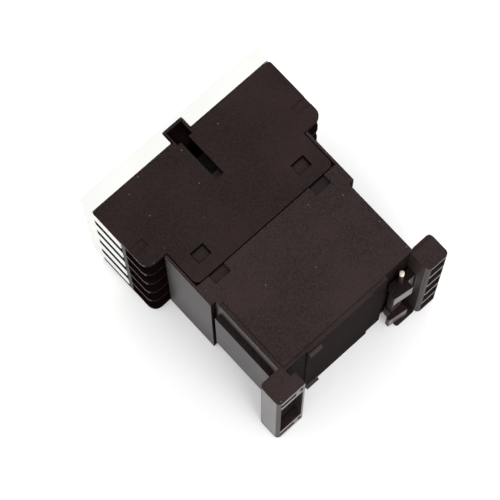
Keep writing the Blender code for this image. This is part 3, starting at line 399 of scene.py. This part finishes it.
# the ends of the ribs and feet come from a polished part of the mould, so they are glossier; their
# lighter colour is a painted highlight where they catch the light
edge_highlight_finish = moulded_dark(
    "polyamide_polished_painted_highlight", "#241C1B", "#3A302F", "#463B39", 0.26, 0.38, 0.15, 0.05
)
# the walls that are drawn straight out of the mould are a little smoother than the side faces
drawn_finish = moulded_dark(
    "polyamide_drawn_wall", "#150E0D", "#291F1E", "#322827", 0.36, 0.2, 0.25, 0.1
)


def face_lies(face, axis, sign):
    """Whether a face looks along an axis, one way or the other."""
    return face.normal[axis] * sign > 0.9


front_y = cad_box[0][1]
top_z = cad_box[1][2]
side_x = cad_box[1][0]
flap_zone_end = front_y + 14.8 * MM
skin = 0.6 * MM
inner_reach = 20 * MM
contact_housing = smoothed(
    "contact_housing", "dark_contact_housing", 0.2 * MM, [(1, flap_zone_end)]
)
for finish in (dark_finish, matt_shade_finish):
    contact_housing.data.materials.append(finish)
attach(contact_housing, "housing")
# the recess floors and walls, the rib ends between the flaps and the pocket backs get the darker
# finish: painted shade where the gaps and hollows lie in shadow
for face in contact_housing.data.polygons:
    middle = face.center
    sunk = skin < middle.z < top_z - skin
    recess_floor = sunk and (face_lies(face, 2, 1) or face_lies(face, 2, -1))
    recess_wall = abs(middle.x) < inner_reach and sunk
    rib_end = abs(middle.x) > side_x - 0.1 * MM and middle.y < flap_zone_end
    pocket_back = abs(middle.x) < side_x - 0.4 * MM and abs(face.normal.z) < 0.5 and sunk
    if recess_floor or recess_wall or rib_end or pocket_back:
        face.material_index = 1

# the snap windows on the two sides, and the magnet's chamber in the middle
base_rows = [(0, along * MM) for along in (-16.5, 0, 16.5)]
base_housing = smoothed("base_housing", "dark_base_housing", 0.22 * MM, hole_rows=base_rows)
for finish in (base_finish, matt_shade_finish, edge_highlight_finish, drawn_finish):
    base_housing.data.materials.append(finish)
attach(base_housing, "housing")
foot_start = 63.4
foot_ends = 69
# the rail side is painted darker, a painted shade on the side away from the light; the rear faces
# and outer sides of the feet are painted lighter, a painted highlight where they catch the light
for face in base_housing.data.polygons:
    depth = (face.center.y - front_y) / MM
    if face_lies(face, 1, 1) and depth < foot_ends:
        face.material_index = 1
    elif face_lies(face, 1, 1) or (face_lies(face, 0, 1) and depth > foot_start):
        face.material_index = 2
    elif face_lies(face, 0, 1) or face_lies(face, 0, -1):
        face.material_index = 3

# The rail latch is a dark polyamide slide between the base and the rail, pushed out by its
# spring. A pale nylon cap marks the peg by which it is pulled back.
cap_z = 38.4 * MM
nose_ends = front_y + 66 * MM
latch = smoothed("rail_latch", "dark_rail_latch", 0.2 * MM, [(2, cap_z)])
for finish in (dark_finish, edge_highlight_finish, matt_shade_finish):
    latch.data.materials.append(finish)
# Natural nylon: cream, waxy and slightly cloudy
cream_finish, tree, shader = finish_called("natural_nylon_cap")
place = put(tree, "ShaderNodeTexCoord", out="Object")
# clouds 1.5 mm across
cloud = put(tree, "ShaderNodeTexNoise", {"Vector": place, "Scale": 660, "Detail": 2}, "Fac")
cream_colour = put(
    tree,
    "ShaderNodeMix",
    {"Factor": cloud, FIRST: paint("#E3D6B8"), SECOND: paint("#F2EAD6")},
    MIXED,
    data_type="RGBA",
)
cream_gloss = put(tree, "ShaderNodeMapRange", {"Value": cloud, "To Min": 0.3, "To Max": 0.45})
settle(tree, shader, {"Base Color": cream_colour, "Roughness": cream_gloss, "IOR": 1.53})
latch.data.materials.append(cream_finish)
# the rear faces of the noses are painted lighter, a painted highlight; the latch's other faces
# towards the rail are painted darker, a painted shade
for face in latch.data.polygons:
    if face.center.z > cap_z:
        face.material_index = 3
    elif face_lies(face, 1, 1) and face.center.y > nose_ends:
        face.material_index = 1
    elif face_lies(face, 1, 1):
        face.material_index = 2
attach(latch, "latch")

# A thin guide plate of the same polyamide closes the latch's channel at the bottom. It is snapped
# between the base and the foot, and the latch slides just over it.
guide_thickness = 0.8 * MM
guide_lowest = Vector((-21.4 * MM, front_y + 64.0 * MM, 0.1 * MM))
guide_size = Vector((6.6 * MM, 5.4 * MM, guide_thickness))
guide_corner = 0.8 * MM
guide_rim = 0.12 * MM
short_edge = 0.1 * MM
bm = bmesh.new()
bmesh.ops.create_cube(bm, size=1)
bmesh.ops.scale(bm, vec=guide_size, verts=bm.verts)
bmesh.ops.translate(bm, vec=guide_lowest + guide_size / 2, verts=bm.verts)
upright = [edge for edge in bm.edges if abs((edge.verts[0].co - edge.verts[1].co).z) > short_edge]
bmesh.ops.bevel(
    bm, geom=upright, offset=guide_corner, segments=4, profile=0.5, affect="EDGES", material=-1
)
rims = [edge for edge in bm.edges if abs((edge.verts[0].co - edge.verts[1].co).z) < short_edge]
bmesh.ops.bevel(
    bm, geom=rims, offset=guide_rim, segments=2, profile=0.5, affect="EDGES", material=-1
)
guide_mesh = bpy.data.meshes.new("latch_guide")
bm.to_mesh(guide_mesh)
bm.free()
guide_mesh.shade_smooth()
guide_mesh.materials.append(dark_finish)
guide = bpy.data.objects.new("latch_guide", guide_mesh)
bpy.context.scene.collection.objects.link(guide)
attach(guide, "housing")


# The terminal screws and their captive clamp plates are zinc-plated steel, passivated clear.
def plated(name, first, second, low, high, cloud_scale):
    """Bare or plated metal: a faint cloudy tone, and fine tumbling marks in its gloss."""
    made, tree, shader = finish_called(name)
    place = put(tree, "ShaderNodeTexCoord", out="Object")
    cloud = put(
        tree, "ShaderNodeTexNoise", {"Vector": place, "Scale": cloud_scale, "Detail": 4}, "Fac"
    )
    # tumbling marks 0.3 mm across
    nick = put(tree, "ShaderNodeTexNoise", {"Vector": place, "Scale": 3500, "Detail": 2}, "Fac")
    tone = put(
        tree,
        "ShaderNodeMix",
        {"Factor": cloud, FIRST: paint(first), SECOND: paint(second)},
        MIXED,
        data_type="RGBA",
    )
    rough = put(tree, "ShaderNodeMapRange", {"Value": nick, "To Min": low, "To Max": high})
    relief = put(
        tree, "ShaderNodeBump", {"Height": nick, "Strength": 0.15, "Distance": 0.03 * MM}, "Normal"
    )
    settle(
        tree,
        shader,
        {"Base Color": tone, "Roughness": rough, "Normal": relief, "Metallic": 1.0},
    )
    return made


zinc_finish = plated("zinc_plated_steel", "#B9B8B2", "#D0CFCB", 0.26, 0.42, 500)
for side in "pn":
    for number in range(1, 6):
        screw = smoothed(f"terminal_screw_{side}{number}", f"zinc_screw_{side}{number}", 0.12 * MM)
        screw.data.materials.append(zinc_finish)
        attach(screw, f"screw_{side}{number}")
        plate = smoothed(f"clamp_plate_{side}{number}", f"zinc_clamp_{side}{number}", 0.12 * MM)
        plate.data.materials.append(zinc_finish)
        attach(plate, f"clamp_{side}{number}")


# The fixed contacts and the coil terminals are stamped brass strip with a dull silver plating.
# They are pushed into slots in the contact housing.
def dress(node, finish):
    """Gives a CAD node, which keeps its shape, a finish."""
    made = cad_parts[node]
    made.data.materials.clear()
    made.data.materials.append(finish)


silver_finish = plated("silver_plated_brass", "#C9C0A9", "#DDD6C4", 0.28, 0.4, 350)
for side in "pn":
    for number in range(1, 5):
        dress(f"fixed_contact_{side}{number}", silver_finish)
    dress(f"coil_terminal_{side}", silver_finish)

# The moving bridges are stamped copper strip with a rolled surface, already a little brown. The
# shading rings, of the same strip, are pressed into the fixed core's poles.
copper_finish = plated("rolled_copper", "#A8623F", "#CB8459", 0.24, 0.4, 260)
for number in range(1, 5):
    dress(f"contact_bridge_{number}", copper_finish)
for side in "pn":
    dress(f"shading_ring_{side}", copper_finish)

# All the springs are wound from drawn steel wire: one behind each bridge, two that push the
# armature back and one behind the latch.
wire_finish = plated("drawn_spring_wire", "#83827E", "#A5A4A0", 0.22, 0.36, 900)
for number in range(1, 5):
    dress(f"contact_spring_{number}", wire_finish)
for side in "pn":
    dress(f"return_spring_{side}", wire_finish)
dress("latch_spring", wire_finish)

# The contact carrier is a dark polyester moulding that slides in the housing and carries the
# bridges, and its front end shows in the cover's window.
carrier_finish = moulded_dark(
    "polyester_carrier_moulded", "#1E1918", "#342D2B", "#393130", 0.4, 0.3, 0.3, 0.02
)
dress("contact_carrier", carrier_finish)

# The two cores are riveted stacks of silicon steel sheet 0.5 mm thick, varnished grey, whose
# edges show as fine lines. A ground steel pin holds the moving one in the carrier.
core_finish, tree, shader = finish_called("laminated_silicon_steel")
place = put(tree, "ShaderNodeTexCoord", out="Object")
# a wave's period is 0.314 over its scale, so this one is a sheet thick
sheet = put(
    tree,
    "ShaderNodeTexWave",
    {"Vector": place, "Scale": 0.314 / (0.5 * MM), "Distortion": 0.4, "Detail": 1},
    "Fac",
    bands_direction="Z",
)
varnish = put(tree, "ShaderNodeTexNoise", {"Vector": place, "Scale": 300, "Detail": 4}, "Fac")
core_colour = put(
    tree,
    "ShaderNodeMix",
    {"Factor": sheet, FIRST: paint("#55544F"), SECOND: paint("#8A8984")},
    MIXED,
    data_type="RGBA",
)
core_gloss = put(tree, "ShaderNodeMapRange", {"Value": varnish, "To Min": 0.35, "To Max": 0.6})
relief = put(
    tree, "ShaderNodeBump", {"Height": sheet, "Strength": 0.4, "Distance": 0.05 * MM}, "Normal"
)
settle(
    tree,
    shader,
    {"Base Color": core_colour, "Roughness": core_gloss, "Normal": relief, "Metallic": 0.85},
)
dress("moving_core", core_finish)
dress("fixed_core", core_finish)
dress("core_pin", plated("ground_steel_pin", "#9A9994", "#B5B4B0", 0.16, 0.28, 600))

# The core's buffer is a pad of black rubber under the fixed core, which takes up the blow when
# the magnet closes.
rubber_finish, tree, shader = finish_called("moulded_nitrile_rubber")
place = put(tree, "ShaderNodeTexCoord", out="Object")
# the bloom of the rubber is in clouds 4 mm across
bloom = put(tree, "ShaderNodeTexNoise", {"Vector": place, "Scale": 240, "Detail": 5}, "Fac")
rubber_colour = put(
    tree,
    "ShaderNodeMix",
    {"Factor": bloom, FIRST: paint("#161616"), SECOND: paint("#2A2928")},
    MIXED,
    data_type="RGBA",
)
rubber_rough = put(tree, "ShaderNodeMapRange", {"Value": bloom, "To Min": 0.7, "To Max": 0.9})
settle(tree, shader, {"Base Color": rubber_colour, "Roughness": rubber_rough, "IOR": 1.52})
dress("core_buffer", rubber_finish)

# The coil's bobbin is moulded of natural glass-filled polyamide, cream and slightly speckled. It
# stands round the fixed core's middle leg.
bobbin_finish, tree, shader = finish_called("natural_polyamide_moulded")
place = put(tree, "ShaderNodeTexCoord", out="Object")
# glass fibres, drawn 0.5 mm across
fibre = put(tree, "ShaderNodeTexNoise", {"Vector": place, "Scale": 2000, "Detail": 3}, "Fac")
bobbin_colour = put(
    tree,
    "ShaderNodeMix",
    {"Factor": fibre, FIRST: paint("#D2C6A8"), SECOND: paint("#E4DBC4")},
    MIXED,
    data_type="RGBA",
)
relief = put(
    tree, "ShaderNodeBump", {"Height": fibre, "Strength": 0.2, "Distance": 0.05 * MM}, "Normal"
)
bobbin_gloss = put(tree, "ShaderNodeMapRange", {"Value": fibre, "To Min": 0.38, "To Max": 0.5})
settle(
    tree,
    shader,
    {"Base Color": bobbin_colour, "Roughness": bobbin_gloss, "Normal": relief, "IOR": 1.53},
)
dress("coil_bobbin", bobbin_finish)

# The winding is thousands of turns of enamelled copper wire, in even layers. The wire is 0.1 mm
# thick and is drawn at 0.4 mm, so that its turns show.
winding_finish, tree, shader = finish_called("enamelled_copper_winding")
place = put(tree, "ShaderNodeTexCoord", out="Object")
turns = put(
    tree,
    "ShaderNodeTexWave",
    {"Vector": place, "Scale": 0.314 / (0.4 * MM), "Distortion": 0.3, "Detail": 1},
    "Fac",
    bands_direction="Y",
)
winding_colour = put(
    tree,
    "ShaderNodeMix",
    {"Factor": turns, FIRST: paint("#5E2A16"), SECOND: paint("#B0643C")},
    MIXED,
    data_type="RGBA",
)
relief = put(
    tree, "ShaderNodeBump", {"Height": turns, "Strength": 0.7, "Distance": 0.1 * MM}, "Normal"
)
winding_gloss = put(tree, "ShaderNodeMapRange", {"Value": turns, "To Min": 0.3, "To Max": 0.22})
settle(
    tree,
    shader,
    {"Base Color": winding_colour, "Roughness": winding_gloss, "Normal": relief, "Metallic": 0.9},
)
dress("coil_winding", winding_finish)
